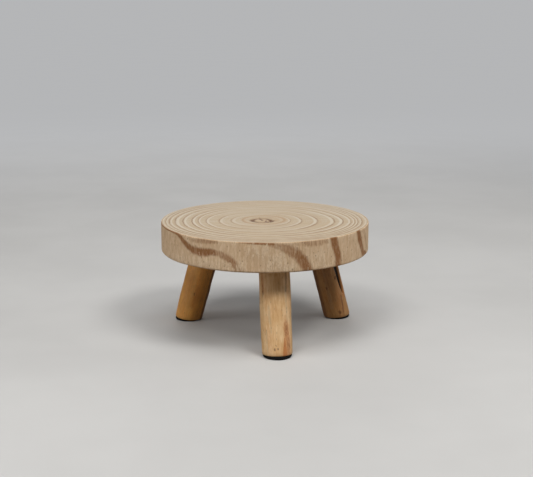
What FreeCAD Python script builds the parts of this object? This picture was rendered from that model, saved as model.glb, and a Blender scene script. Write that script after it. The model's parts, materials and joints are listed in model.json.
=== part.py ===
import FreeCAD, Part
import os
import Sketcher

# A round wood-slice cake stand on three splayed branch legs, in millimetres.
#
# Row frame: +Z up, the origin on the floor under the slab's centre, the front leg towards -Y.
# Leg frame: each leg, with its dowel and its foot pad, is built about its own axis. The origin of
# that frame is where the axis meets the slab's underside, +Z runs up the leg and +X leans outwards.

# The driving dimensions: (name, value, what it is). Angles are in degrees.
SIZES = [
    ("stand_height", 110, "floor to the slab's top face"),
    ("slab_diameter", 200, "across the round slab"),
    ("slab_thickness", 28, "top face to underside"),
    ("slab_top_round", 1.2, "radius on the edge of the top face"),
    ("slab_base_round", 4, "radius on the edge of the underside"),
    ("leg_circle_diameter", 123, "circle through the leg axes at the underside"),
    ("leg_splay", 16.5, "lean of each leg outwards from upright"),
    ("leg_taper", 0.5, "how much thinner a leg is at its foot"),
    ("leg_foot_round", 0.5, "radius on the sawn edge of a leg's foot"),
    ("leg_saw_allowance", 10, "length of blank beyond each sawn end of a leg or pad"),
    ("saw_reach", 40, "how far a saw cut reaches beyond a leg's axis"),
    ("front_leg_diameter", 28, "across the front leg at its top"),
    ("right_leg_diameter", 26.5, "across the right leg at its top"),
    ("left_leg_diameter", 27, "across the left leg at its top"),
    ("front_leg_azimuth", -90, "direction of the front leg, from +X towards +Y"),
    ("right_leg_azimuth", 22.5, "direction of the right leg"),
    ("left_leg_azimuth", 148, "direction of the left leg"),
    ("pad_thickness", 2.2, "foot pad under the leg's axis, straight up"),
    ("pad_wedge", 6, "angle between the leg's sawn foot and the floor"),
    ("pad_inset", 0.5, "foot pad's edge inside the leg's edge"),
    ("dowel_diameter", 10, "across the dowel"),
    ("dowel_length", 40, "end to end"),
    ("dowel_depth_in_slab", 15, "length of dowel above the slab's underside"),
    ("dowel_chamfer", 1, "at both ends of the dowel"),
    ("flute_count", 12, "glue flutes round the dowel"),
    ("flute_diameter", 1.2, "across the round bottom of a flute"),
    ("glue_gap_side", 0.05, "between a dowel and the wall of its bore"),
    ("glue_gap_end", 1, "between a dowel's end and the bottom of its bore"),
]
LEG_NAMES = ["front", "right", "left"]

# Lengths that follow from the driving dimensions, as expressions.
FOOT_CUT_ANGLE = "(sizes.leg_splay - sizes.pad_wedge)"
UNDERSIDE_HEIGHT = "(sizes.stand_height - sizes.slab_thickness)"
AXIS_TO_FLOOR = f"({UNDERSIDE_HEIGHT} / cos(sizes.leg_splay * 1deg))"
AXIS_TO_FOOT_CUT = f"(({UNDERSIDE_HEIGHT} - sizes.pad_thickness) / cos(sizes.leg_splay * 1deg))"
DOWEL_DEPTH_IN_LEG = "(sizes.dowel_length - sizes.dowel_depth_in_slab)"
BORE_RADIUS = "(sizes.dowel_diameter / 2 + sizes.glue_gap_side)"

# Sketch geometry: the two axes' numbers, and a point's number on a piece of geometry.
HORIZONTAL_AXIS = -1
VERTICAL_AXIS = -2
ORIGIN = (-1, 1)
START = 1
END = 2
CENTRE = 3

EDGE_POINTS = 5
TOUCHING = 1e-4


def make_sheet(doc):
    """The spreadsheet of driving dimensions, one row each: name, value, meaning."""
    sheet = doc.addObject("Spreadsheet::Sheet", "sizes")
    for row, (name, value, meaning) in enumerate(SIZES, start=1):
        sheet.set(f"A{row}", name)
        sheet.set(f"B{row}", str(value))
        sheet.set(f"C{row}", meaning)
        sheet.setAlias(f"B{row}", name)
    doc.recompute()


def leg_frame(leg):
    """The placement of a leg's frame: out to the leg's place on the circle, turned and leant."""
    azimuth = f"sizes.{leg}_leg_azimuth"
    across = f"sizes.leg_circle_diameter / 2 * cos({azimuth} * 1deg)"
    along = f"sizes.leg_circle_diameter / 2 * sin({azimuth} * 1deg)"
    place = f"vector({across}; {along}; {UNDERSIDE_HEIGHT})"
    return f"placement({place}; rotation({azimuth}; -sizes.leg_splay; 0))"


def add_body(doc, node, placement=None):
    """An empty body, named after its node."""
    body = doc.addObject("PartDesign::Body", node)
    body.Label = node
    if placement:
        body.setExpression("Placement", placement)
    return body


def add_sketch(body, name, plane_role, offset=None):
    """An empty sketch on one of the body's own origin planes, or moved off it by an offset."""
    sketch = body.newObject("Sketcher::SketchObject", name)
    plane = next(item for item in body.Origin.OriginFeatures if item.Role == plane_role)
    sketch.AttachmentSupport = [(plane, "")]
    sketch.MapMode = "FlatFace"
    if offset:
        sketch.setExpression("AttachmentOffset", offset)
    return sketch


def bind(sketch, constraint, expression):
    """Adds a dimension to the sketch and ties it to an expression."""
    number = sketch.addConstraint(constraint)
    sketch.setExpression(f"Constraints[{number}]", expression)


def draw_circle(sketch, diameter, centre_x=None):
    """A circle centred on the sketch's origin, or beside it on the horizontal axis."""
    radius = float(sketch.evalExpression(diameter)) / 2
    start_x = float(sketch.evalExpression(centre_x)) if centre_x else 0
    middle = FreeCAD.Vector(start_x, 0, 0)
    circle = sketch.addGeometry(Part.Circle(middle, FreeCAD.Vector(0, 0, 1), radius))
    if centre_x:
        sketch.addConstraint(Sketcher.Constraint("PointOnObject", circle, CENTRE, HORIZONTAL_AXIS))
        bind(sketch, Sketcher.Constraint("DistanceX", *ORIGIN, circle, CENTRE, start_x), centre_x)
    else:
        sketch.addConstraint(Sketcher.Constraint("Coincident", circle, CENTRE, *ORIGIN))
    bind(sketch, Sketcher.Constraint("Diameter", circle, 2 * radius), diameter)


def draw_outline(sketch, corners):
    """A closed outline through corners, each an (x, y) pair of expressions."""
    places = []
    for corner in corners:
        x, y = (float(sketch.evalExpression(part)) for part in corner)
        places.append(FreeCAD.Vector(x, y, 0))
    ends = places[1:] + places[:1]
    lines = [sketch.addGeometry(Part.LineSegment(a, b)) for a, b in zip(places, ends)]
    for line, following in zip(lines, lines[1:] + lines[:1]):
        sketch.addConstraint(Sketcher.Constraint("Coincident", line, END, following, START))
    for line, (x, y), place in zip(lines, corners, places):
        if x == "0":
            sketch.addConstraint(Sketcher.Constraint("PointOnObject", line, START, VERTICAL_AXIS))
        else:
            bind(sketch, Sketcher.Constraint("DistanceX", *ORIGIN, line, START, place.x), x)
        if y == "0":
            sketch.addConstraint(Sketcher.Constraint("PointOnObject", line, START, HORIZONTAL_AXIS))
        else:
            bind(sketch, Sketcher.Constraint("DistanceY", *ORIGIN, line, START, place.y), y)


def add_feature(body, kind, name, sketch, length=None, **settings):
    """A feature made from a sketch, with its length tied to an expression."""
    feature = body.newObject(f"PartDesign::{kind}", name)
    feature.Profile = sketch
    for setting, value in settings.items():
        setattr(feature, setting, value)
    if length:
        feature.setExpression("Length", length)
    return feature


def turn(body, kind, name, corners):
    """Turns a half outline round the body's Z axis, to add a solid or to groove one away."""
    sketch = add_sketch(body, f"{name}_outline", "XZ_Plane")
    draw_outline(sketch, corners)
    return add_feature(body, kind, name, sketch, ReferenceAxis=(sketch, ["V_Axis"]), Angle=360.0)


def edges_at(feature, depth, angle="0"):
    """Names of the edges that lie in a plane: its height on the body's axis, and its drop along +X."""
    height = float(feature.evalExpression(depth))
    slope = float(feature.evalExpression(f"tan({angle} * 1deg)"))
    names = []
    for number, edge in enumerate(feature.Shape.Edges, start=1):
        points = edge.discretize(EDGE_POINTS)
        if all(abs(point.z + point.x * slope - height) < TOUCHING for point in points):
            names.append(f"Edge{number}")
    return names


def soften(body, kind, name, base, edges, size):
    """A fillet or a chamfer on some of a feature's edges."""
    feature = body.newObject(f"PartDesign::{kind}", name)
    feature.Base = (base, edges)
    feature.setExpression({"Fillet": "Radius", "Chamfer": "Size"}[kind], size)
    return feature


def drop(depth):
    """A move straight down the body's axis, as a placement expression."""
    return f"placement(vector(0; 0; -{depth}); rotation(0; 0; 0))"


def add_slab(doc):
    """The round slab, with a blind bore in its underside for each leg's dowel."""
    body = add_body(doc, "top_slab")
    outline = add_sketch(body, "slab_outline", "XY_Plane", drop(f"-{UNDERSIDE_HEIGHT}"))
    draw_circle(outline, "sizes.slab_diameter")
    slab = add_feature(body, "Pad", "slab", outline, "sizes.slab_thickness")
    doc.recompute()
    upper_edge = edges_at(slab, "sizes.stand_height")
    top_round = soften(body, "Fillet", "top_round", slab, upper_edge, "sizes.slab_top_round")
    doc.recompute()
    lower_edge = edges_at(top_round, UNDERSIDE_HEIGHT)
    soften(body, "Fillet", "base_round", top_round, lower_edge, "sizes.slab_base_round")
    # A bore's sketch lies a dowel's width below the underside, so that its leant mouth opens fully.
    depth = "sizes.dowel_diameter + sizes.dowel_depth_in_slab + sizes.glue_gap_end"
    for leg in LEG_NAMES:
        mouth = f"{leg_frame(leg)} * {drop('sizes.dowel_diameter')}"
        outline = add_sketch(body, f"{leg}_bore_outline", "XY_Plane", mouth)
        draw_circle(outline, f"2 * {BORE_RADIUS}")
        add_feature(body, "Pocket", f"{leg}_bore", outline, depth, Reversed=True)


def saw_off(body, name, depth, angle, side):
    """Saws an end off a rod, across its axis at a depth, on a slant that drops towards the outside.

    Side is "+" to take away what is above the cut, and "-" to take away what is below.
    """
    reach = "sizes.saw_reach"
    far_side = f"-{depth} {side} sizes.saw_reach"
    outline = add_sketch(body, f"{name}_outline", "XZ_Plane")
    corners = [
        (f"-{reach}", f"-{depth} + {reach} * tan({angle} * 1deg)"),
        (reach, f"-{depth} - {reach} * tan({angle} * 1deg)"),
        (reach, far_side),
        (f"-{reach}", far_side),
    ]
    draw_outline(outline, corners)
    return add_feature(body, "Pocket", name, outline, Type="ThroughAll", SideType="Symmetric")


def add_leg(doc, leg):
    """A peeled branch, sawn flush with the underside and to its foot, with a bore for its dowel."""
    body = add_body(doc, f"leg_{leg}", leg_frame(leg))
    top_radius = f"sizes.{leg}_leg_diameter / 2"
    foot_radius = f"(sizes.{leg}_leg_diameter - sizes.leg_taper) / 2"
    blank_top = "sizes.leg_saw_allowance"
    blank_foot = f"-{AXIS_TO_FOOT_CUT} - sizes.leg_saw_allowance"
    turn(
        body,
        "Revolution",
        "blank",
        [("0", blank_top), (top_radius, blank_top), (foot_radius, blank_foot), ("0", blank_foot)],
    )
    saw_off(body, "top_cut", "0", "sizes.leg_splay", "+")
    foot_cut = saw_off(body, "foot_cut", AXIS_TO_FOOT_CUT, FOOT_CUT_ANGLE, "-")
    doc.recompute()
    foot_edge = edges_at(foot_cut, f"-{AXIS_TO_FOOT_CUT}", FOOT_CUT_ANGLE)
    soften(body, "Fillet", "foot_round", foot_cut, foot_edge, "sizes.leg_foot_round")
    bore_foot = f"-{DOWEL_DEPTH_IN_LEG} - sizes.glue_gap_end"
    turn(
        body,
        "Groove",
        "dowel_bore",
        [("0", blank_top), (BORE_RADIUS, blank_top), (BORE_RADIUS, bore_foot), ("0", bore_foot)],
    )


def add_foot_pad(doc, leg):
    """A rubber pad between the leg's slanted foot and the floor, thicker on the outside."""
    body = add_body(doc, f"foot_pad_{leg}", leg_frame(leg))
    radius = f"((sizes.{leg}_leg_diameter - sizes.leg_taper) / 2 - sizes.pad_inset)"
    top = f"sizes.leg_saw_allowance - {AXIS_TO_FOOT_CUT}"
    foot = f"-{AXIS_TO_FLOOR} - sizes.leg_saw_allowance"
    turn(body, "Revolution", "blank", [("0", top), (radius, top), (radius, foot), ("0", foot)])
    saw_off(body, "top_face", AXIS_TO_FOOT_CUT, FOOT_CUT_ANGLE, "+")
    saw_off(body, "floor_face", AXIS_TO_FLOOR, "sizes.leg_splay", "-")


def add_dowel(doc, leg):
    """A fluted dowel, glued half into the slab and half into the leg."""
    body = add_body(doc, f"dowel_{leg}", leg_frame(leg))
    foot_end = drop(DOWEL_DEPTH_IN_LEG)
    outline = add_sketch(body, "rod_outline", "XY_Plane", foot_end)
    draw_circle(outline, "sizes.dowel_diameter")
    rod = add_feature(body, "Pad", "rod", outline, "sizes.dowel_length")
    doc.recompute()
    end_edges = edges_at(rod, f"-{DOWEL_DEPTH_IN_LEG}") + edges_at(rod, "sizes.dowel_depth_in_slab")
    soften(body, "Chamfer", "end_chamfers", rod, end_edges, "sizes.dowel_chamfer")
    outline = add_sketch(body, "flute_outline", "XY_Plane", foot_end)
    draw_circle(outline, "sizes.flute_diameter", "sizes.dowel_diameter / 2")
    flute = add_feature(body, "Pocket", "flute", outline, Type="ThroughAll", Reversed=True)
    doc.recompute()
    flutes = body.newObject("PartDesign::PolarPattern", "flutes")
    flutes.Originals = [flute]
    flutes.Axis = (outline, ["N_Axis"])
    flutes.Angle = 360.0
    flutes.setExpression("Occurrences", "sizes.flute_count")
    body.Tip = flutes


def check(doc):
    """Stops the build when anything in the document failed or is not a valid solid."""
    for item in doc.Objects:
        if "Invalid" in item.State or "Error" in item.State:
            raise RuntimeError(f"{item.Name} failed: {item.State}")
    for body in bodies(doc):
        if body.Shape.isNull() or not body.Shape.isValid() or len(body.Shape.Solids) != 1:
            raise RuntimeError(f"{body.Label} is not one valid solid")


def bodies(doc):
    """Every sub-part of the stand."""
    return doc.findObjects("PartDesign::Body")


def main():
    doc = FreeCAD.newDocument("cake_stand")
    make_sheet(doc)
    add_slab(doc)
    for leg in LEG_NAMES:
        add_leg(doc, leg)
        add_dowel(doc, leg)
        add_foot_pad(doc, leg)
    doc.recompute()
    check(doc)
    os.makedirs("parts", exist_ok=True)
    for body in bodies(doc):
        body.Shape.exportStep(f"parts/{body.Label}.step")


main()
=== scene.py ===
"""A low round cake stand: a sawn slice of trunk on three peeled branch legs with rubber feet.

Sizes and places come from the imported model. Lengths named "mm" are millimetres; all others are metres.
"""

import json
import math
from collections import namedtuple

import bmesh
import bpy
import numpy as np
from bpy.props import FloatProperty, FloatVectorProperty, IntProperty, PointerProperty
from mathutils import Matrix, Vector, noise


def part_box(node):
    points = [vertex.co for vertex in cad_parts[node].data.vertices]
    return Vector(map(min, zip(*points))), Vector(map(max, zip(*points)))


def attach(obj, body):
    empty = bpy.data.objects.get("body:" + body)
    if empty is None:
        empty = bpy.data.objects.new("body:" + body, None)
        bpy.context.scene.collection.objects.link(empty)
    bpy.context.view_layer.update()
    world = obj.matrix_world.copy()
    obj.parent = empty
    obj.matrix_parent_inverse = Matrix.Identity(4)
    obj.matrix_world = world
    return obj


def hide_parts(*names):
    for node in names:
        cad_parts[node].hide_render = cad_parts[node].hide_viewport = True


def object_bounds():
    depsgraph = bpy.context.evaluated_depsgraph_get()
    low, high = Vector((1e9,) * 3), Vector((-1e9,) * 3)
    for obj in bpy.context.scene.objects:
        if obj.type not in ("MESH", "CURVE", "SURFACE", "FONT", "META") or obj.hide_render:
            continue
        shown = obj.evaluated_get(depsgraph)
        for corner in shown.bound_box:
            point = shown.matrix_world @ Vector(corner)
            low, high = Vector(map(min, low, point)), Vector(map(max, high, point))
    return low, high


bl_info = {
    "name": "Wood Slice Cake Stand",
    "version": (1, 0, 0),
    "blender": (4, 5, 0),
    "location": "View3D > Sidebar > Cake Stand",
    "description": "Builds a round wood-slice cake stand on three splayed branch legs",
    "category": "Add Mesh",
}

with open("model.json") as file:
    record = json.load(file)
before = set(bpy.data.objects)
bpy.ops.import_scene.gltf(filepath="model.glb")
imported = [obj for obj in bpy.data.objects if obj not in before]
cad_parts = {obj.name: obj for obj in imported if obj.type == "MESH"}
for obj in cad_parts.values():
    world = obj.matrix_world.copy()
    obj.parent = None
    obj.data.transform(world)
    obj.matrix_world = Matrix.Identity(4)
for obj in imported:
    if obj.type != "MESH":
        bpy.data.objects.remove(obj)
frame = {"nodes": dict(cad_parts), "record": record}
cad_low, cad_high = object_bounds()

MM = 0.001
LEGS = ("front", "right", "left")
MOUNTS = {mount["name"]: Vector(mount["pos_m"]) for mount in frame["record"]["mounts"]}
SLAB_LOW, SLAB_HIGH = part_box("top_slab")
SLAB_RADIUS = (SLAB_HIGH.x - SLAB_LOW.x) / 2
SLAB_TOP = SLAB_HIGH.z
SLAB_UNDERSIDE = SLAB_LOW.z
SLAB_THICKNESS = (SLAB_TOP - SLAB_UNDERSIDE) / MM  # in mm
GLUE_GAP = 0.05  # mm between a dowel and the wall of its bore
BORE_ROOM = 1.0  # mm that a bore goes on past the end of its dowel


# ---------------------------------------------------------------- marks of this piece of wood

# A growth line: its mean radius and how far its centre sits towards +X and +Y, in mm, and how dark it is.
GrowthLine = namedtuple("GrowthLine", "radius shift_x shift_y darkness")
GROWTH_LINES = (
    GrowthLine(11, -3.3, -4.2, 0.0),
    GrowthLine(20, -1.5, -1.0, 0.25),
    GrowthLine(28.5, -4.5, -3.0, 0.55),
    GrowthLine(39.5, -5.0, -3.5, 0.75),
    GrowthLine(53, -4.0, -3.0, 0.85),
    GrowthLine(64.5, 0.0, -2.0, 0.75),
    GrowthLine(71.5, 1.0, -2.0, 1.0),
    GrowthLine(80, 1.0, -1.5, 0.75),
    GrowthLine(86, -0.5, -1.0, 0.8),
    GrowthLine(90.5, -1.5, -0.5, 0.75),
    GrowthLine(94.5, -1.0, 0.0, 0.7),
)

# A brush stroke is a row of points: (across, along, half width, strength).
# On the slab's wall: degrees round from +X, mm below the top, mm, 0 to 1.
WALL_FLAMES = (
    ((-184, 0.3, 0.6, 0.6), (-171, 0.3, 0.7, 0.85), (-160, 0.4, 0.8, 1.0), (-151.5, 0.7, 1.4, 1.0),
     (-148.5, 2.4, 2.2, 1.0), (-145.5, 6.0, 2.6, 1.0), (-142, 9.6, 3.0, 1.0), (-138, 12.4, 3.5, 1.0),
     (-133.5, 13.2, 4.0, 1.0), (-129, 12.3, 3.8, 1.0), (-125.5, 11.2, 3.2, 0.85), (-121.5, 12.2, 3.3, 0.6),
     (-117, 15.5, 3.6, 0.65), (-114, 20.0, 3.8, 0.8), (-112, 24.0, 3.8, 0.75), (-110, 29.0, 3.8, 0.7)),
    ((-140, 3.4, 1.6, 0.4), (-131, 2.8, 2.4, 0.65), (-123, 1.8, 1.5, 0.6)),
    ((-111, 0.9, 0.6, 0.6), (-101, 1.0, 1.0, 1.0), (-93, 1.5, 1.0, 0.9)),
    ((-96, 1.6, 1.6, 0.6), (-90, 4.2, 3.4, 0.6), (-85, 7.4, 4.8, 0.65), (-81, 12.0, 5.2, 0.8),
     (-78.5, 17.0, 5.2, 0.9), (-76.5, 22.0, 5.0, 0.9), (-74.5, 29.0, 4.8, 0.8)),
    ((-81, 2.2, 2.2, 0.35), (-71, 3.0, 3.4, 0.55), (-63, 2.4, 2.4, 0.5)),
    ((-60, -1.0, 4.6, 1.0), (-58, 9.0, 4.3, 1.0), (-56, 18.0, 4.0, 1.0), (-56, 29.0, 4.1, 0.9)),
    ((-38, -1.0, 3.8, 1.0), (-36, 8.0, 4.2, 1.0), (-33, 17.0, 3.8, 0.9), (-30, 26.0, 3.2, 0.8)),
    ((-31, 0.0, 2.0, 0.4), (-26, 12.0, 2.6, 0.45), (-23, 22.0, 2.4, 0.4)),
    ((-28, 24.5, 2.4, 1.0), (-25, 26.5, 2.2, 1.0)),
    ((-6, -1.0, 2.0, 0.7), (-4, 12.0, 2.4, 0.8), (-5, 29.0, 2.0, 0.65)),
    ((14, -1.0, 2.4, 0.9), (19, 6.0, 3.4, 1.0), (25, 14.0, 4.2, 0.9), (29, 22.0, 3.8, 0.7),
     (31, 29.0, 3.0, 0.6)),
    ((51, -1.0, 2.6, 0.8), (47, 8.0, 3.4, 0.9), (45, 18.0, 3.6, 0.7), (46, 29.0, 3.0, 0.6)),
    ((110, -1.0, 2.6, 0.7), (102, 6.0, 3.6, 0.8), (93, 10.0, 4.4, 0.9), (85, 13.0, 4.8, 0.75),
     (79, 19.0, 4.2, 0.65), (75, 29.0, 3.4, 0.55)),
    ((118, 0.8, 0.7, 0.7), (127, 1.0, 1.1, 0.95), (136, 1.2, 0.9, 0.8)),
    ((143, -1.0, 3.0, 0.95), (145, 9.0, 3.4, 1.0), (144, 19.0, 3.0, 0.95), (146, 29.0, 2.6, 0.8)),
    ((163, 29.0, 2.4, 0.55), (166, 18.0, 2.0, 0.6), (168, 8.0, 1.6, 0.5)),
)
# Where long pale fibres stand up from the wall.
WALL_WOOL = (
    ((-97, 22.0, 5.0, 0.8), (-91, 18.0, 7.0, 1.0), (-86, 21.0, 6.0, 1.0)),
    ((-104, 9.0, 7.0, 0.5), (-93, 12.0, 9.0, 0.55)),
    ((-68, 14.0, 4.0, 0.6), (-66, 24.0, 5.0, 0.7)),
    ((-150, 24.0, 3.5, 0.6), (-132, 23.0, 5.0, 0.8), (-110, 24.0, 5.0, 0.7)),
    ((-62.5, 1.5, 1.3, 1.0), (-61.5, 9.0, 1.3, 1.0), (-59.8, 21.0, 1.2, 0.8)),
    ((10, 23.0, 5.0, 0.8), (60, 22.0, 6.0, 0.8), (120, 24.0, 5.0, 0.7), (160, 22.0, 6.0, 0.8)),
)
# On the top, round the pith: mm towards +X, mm towards +Y, mm, 0 to 1.
PITH_CHECKS = (
    ((-13.2, -1.4, 2.2, 1.0), (-11.5, 3.2, 2.0, 0.95), (-7.7, 6.3, 2.3, 0.85), (-3.1, 7.4, 2.4, 0.85),
     (1.9, 5.8, 2.2, 0.9), (4.9, 1.2, 1.9, 0.95), (6.4, -4.5, 2.3, 0.95), (4.4, -8.8, 2.1, 0.95),
     (0.9, -10.8, 2.3, 0.9), (-3.4, -11.5, 2.3, 0.8), (-7.8, -10.1, 2.1, 0.85), (-11.2, -6.4, 1.9, 0.95),
     (-13.2, -1.4, 2.2, 1.0)),
    ((-11.6, -0.6, 1.6, 1.0), (-9.4, 0.8, 1.1, 0.8)),
    ((-4.8, 5.4, 1.2, 0.8), (-2.4, 0.4, 1.4, 0.7), (-3.0, -4.2, 0.9, 0.4)),
    ((1.6, -0.6, 0.9, 0.5), (0.2, -5.2, 1.3, 0.75), (0.4, -9.6, 1.3, 0.8)),
    ((7.0, -3.6, 1.7, 1.0), (10.6, -4.8, 0.8, 0.9)),
    ((-13.6, 0.4, 0.8, 0.9), (-17.6, 1.8, 0.35, 0.6)),
    ((-3.0, 8.4, 0.7, 0.8), (-4.4, 12.8, 0.3, 0.5)),
    ((3.0, -10.6, 0.7, 0.8), (5.4, -15.0, 0.3, 0.5)),
)

# Marks on the legs: degrees round from the side that faces outwards, mm down from the leg's top, mm, 0 to 1.
LEG_MARKS = {
    "front": {
        "knot_brown_and_shade": (
            ((-17, 79.0, 0.9, 0.9), (-16, 80.0, 0.8, 0.8)),
            ((-5, 78.5, 0.9, 0.8), (-4, 79.5, 0.7, 0.8)),
            ((-12, 75.5, 0.6, 0.5), (-10, 76.5, 0.5, 0.5)),
            ((30, 55.0, 1.8, 0.35), (31, 61.0, 2.4, 0.55), (29, 66.0, 2.0, 0.4)),
            ((40, 70.0, 2.2, 0.35), (42, 76.0, 2.8, 0.5), (41, 82.0, 2.0, 0.35)),
            ((-59, 22.0, 1.4, 0.4), (-57, 27.0, 1.9, 0.6), (-60, 31.0, 1.2, 0.4)),
            ((38, 4.0, 1.3, 0.6), (40, 14.0, 1.7, 0.6), (37, 27.0, 1.2, 0.5)),
            ((66, 6.0, 3.6, 0.35), (64, 30.0, 4.0, 0.3), (64, 56.0, 4.0, 0.3), (66, 88.0, 4.0, 0.35)),
        ),
        "resin_orange": (
            ((22, 70.0, 1.0, 0.7), (23, 77.0, 1.5, 1.2), (24, 86.0, 2.4, 1.6)),
            ((29, 50.0, 2.0, 0.4), (31, 60.0, 3.4, 0.8), (38, 72.0, 3.6, 0.7), (42, 86.0, 3.0, 0.6)),
            ((-40, 50.0, 2.0, 0.25), (-36, 84.0, 2.6, 0.3)),
            ((-62, 8.0, 1.6, 0.6), (-58, 26.0, 2.0, 0.7)),
        ),
        "weather_grey": (
            ((-34, 40.0, 1.2, 0.45), (-31, 52.0, 1.5, 0.5), (-27, 64.0, 1.0, 0.4)),
            ((34, 22.0, 1.3, 0.35), (35, 40.0, 1.5, 0.45), (37, 54.0, 1.1, 0.35)),
            ((-48, 62.0, 0.8, 0.5), (-45, 82.0, 1.0, 0.5)),
        ),
        "check": (
            ((150, 34.0, 0.3, 0.7), (152, 48.0, 0.5, 1.0), (154, 63.0, 0.3, 0.7)),
        ),
    },
    "right": {
        "knot_brown_and_shade": (
            ((-134, 46.8, 1.0, 1.0), (-134, 48.2, 0.9, 1.0)),
            ((-84, 38.5, 1.4, 0.9), (-86, 40.0, 1.1, 0.9)),
            ((-110, 4.0, 4.0, 0.5), (-112, 22.0, 4.5, 0.5), (-118, 44.0, 3.2, 0.4)),
            # Painted shade down the side that faces in under the slab.
            ((-190, 2.0, 5.4, 0.9), (-188, 40.0, 5.4, 1.0), (-190, 84.0, 5.4, 1.0)),
            ((-78, 60.0, 1.0, 0.7), (-80, 70.0, 1.1, 0.8), (-84, 78.0, 1.0, 0.7)),
            ((-104, 75.5, 1.2, 1.0), (-101, 77.2, 1.4, 1.0)),
            ((60, 30.0, 2.2, 0.7), (64, 34.0, 2.0, 0.7)),
        ),
        "resin_orange": (
            ((-80, 48.0, 3.0, 0.35), (-88, 60.0, 5.0, 0.35), (-92, 74.0, 5.0, 0.35)),
            ((-56, 30.0, 2.2, 0.5), (-56, 62.0, 2.6, 0.6)),
        ),
        "weather_grey": (
            ((-128, 10.0, 1.8, 0.4), (-132, 70.0, 2.0, 0.4)),
        ),
        "check": (
            ((-72, 2.0, 2.1, 1.0), (-68, 20.0, 2.7, 1.0), (-64, 33.0, 2.7, 1.0), (-62, 44.0, 2.4, 1.0),
             (-61, 52.0, 1.7, 1.0), (-61, 58.0, 0.9, 0.9)),
        ),
    },
    "left": {
        "knot_brown_and_shade": (
            ((112, 52.0, 1.0, 0.6), (113, 53.6, 0.8, 0.6)),
            ((150, 14.0, 3.2, 0.4), (153, 46.0, 3.6, 0.4), (150, 76.0, 3.0, 0.35)),
            # Painted shade down the side that faces in under the slab.
            ((188, 4.0, 4.4, 0.9), (186, 44.0, 4.6, 0.95), (188, 84.0, 4.8, 1.0)),
            ((-70, 36.0, 2.0, 0.8), (-66, 40.0, 2.2, 0.8)),
        ),
        "resin_orange": (
            ((76, 4.0, 3.6, 0.25), (78, 40.0, 4.0, 0.35), (76, 80.0, 3.6, 0.3)),
            ((118, 20.0, 1.6, 0.4), (116, 66.0, 2.0, 0.5)),
        ),
        "weather_grey": (
            ((97, 6.0, 2.2, 0.2), (98, 40.0, 2.6, 0.2), (100, 78.0, 2.0, 0.15)),
        ),
        "check": (
            ((-20, 6.0, 0.3, 0.7), (-17, 24.0, 0.6, 1.0), (-18, 41.0, 0.3, 0.7)),
        ),
    },
}


# ---------------------------------------------------------------- sizes and colours a user would change


def length(name, description, millimetres):
    """A length setting, given in millimetres and kept in metres."""
    size = millimetres * MM
    return FloatProperty(
        name=name, description=description, default=size, min=0.0, subtype="DISTANCE", unit="LENGTH"
    )


def colour(name, description, red, green, blue):
    """A linear colour setting."""
    shade = (red, green, blue)
    return FloatVectorProperty(
        name=name, description=description, default=shade, min=0.0, max=1.0, size=3, subtype="COLOR"
    )


def share(name, description, value):
    """A setting from 0 to 1."""
    return FloatProperty(
        name=name, description=description, default=value, min=0.0, max=1.0, subtype="FACTOR"
    )


def amount(name, description, value):
    """A plain number setting, such as a lamp's strength."""
    return FloatProperty(name=name, description=description, default=value, min=0.0)


def turn(name, description, degrees):
    """An angle setting, given in degrees."""
    return FloatProperty(name=name, description=description, default=math.radians(degrees), subtype="ANGLE")


def count(name, description, value, least):
    """A whole-number setting."""
    return IntProperty(name=name, description=description, default=value, min=least)


class SlabSettings(bpy.types.PropertyGroup):
    """The round slice of trunk."""

    points_round: count("Points Round", "Mesh points round the slab's rim, a multiple of 8", 640, 64)
    face_round: length("Top Edge Round", "Radius of the crisp edge between top and wall", 0.8)
    base_round: length("Bottom Edge Round", "Mean radius of the soft lower edge", 1.6)
    rim_wander: length("Rim Wander", "How far the wall strays from a true circle", 0.35)
    swell: length("Swell", "How much wider the peeled wall is than its nominal circle, on the radius", 0.3)
    line_depth: length("Growth Line Depth", "How deep the growth lines lie in the top", 0.14)
    check_depth: length("Pith Check Depth", "How deep the cracks round the pith are", 1.4)
    fibre_depth: length("Wall Fibre Depth", "Height of the torn fibres on the wall", 0.16)
    cream: colour("Cream Wood", "Palest wood of the top, just inside each growth line", 0.585, 0.52, 0.41)
    straw: colour("Straw Wood", "Main colour of the top", 0.455, 0.375, 0.272)
    tan: colour("Tan Wood", "Warmer wood between the lines of the top", 0.42, 0.29, 0.155)
    growth_line: colour("Growth Line", "Colour of the thin dark growth lines", 0.215, 0.105, 0.042)
    # Partly painted shade in the pith cracks, partly the wood's own dark colour.
    pith: colour("Pith", "Colour inside the cracks round the pith", 0.145, 0.07, 0.034)
    wall: colour("Wall Wood", "Main colour of the peeled wall", 0.65, 0.465, 0.29)
    wall_pale: colour("Pale Fibre", "Colour of the torn pale fibres on the wall", 0.82, 0.655, 0.46)
    flame: colour("Flame Brown", "Brown of the flame figure on the wall", 0.255, 0.10, 0.024)


class LegSettings(bpy.types.PropertyGroup):
    """The three peeled branch legs."""

    points_round: count("Points Round", "Mesh points round each leg", 240, 24)
    rows: count("Rows", "Rows of mesh points down each leg", 84, 8)
    unevenness: length("Unevenness", "Hollows and swellings left by peeling", 0.45)
    swell: length("Swell", "How much thicker a peeled branch is than its turned core, on the radius", 0.6)
    right_swell: length("Right Swell", "The same for the right branch, which is slimmer", 0.15)
    bow: length("Bow", "How far each branch bends between its ends", 0.3)
    ridge_depth: length("Ridge Depth", "Height of the fine ridges along the grain", 0.05)
    check_depth: length("Check Depth", "Depth of the widest drying crack", 2.8)
    front_wood: colour("Front Leg", "Main colour of the pale front leg", 0.60, 0.328, 0.113)
    left_wood: colour("Left Leg", "Main colour of the golden left leg", 0.93, 0.415, 0.083)
    right_wood: colour("Right Leg", "Main colour of the brown right leg", 0.50, 0.215, 0.052)


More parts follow.
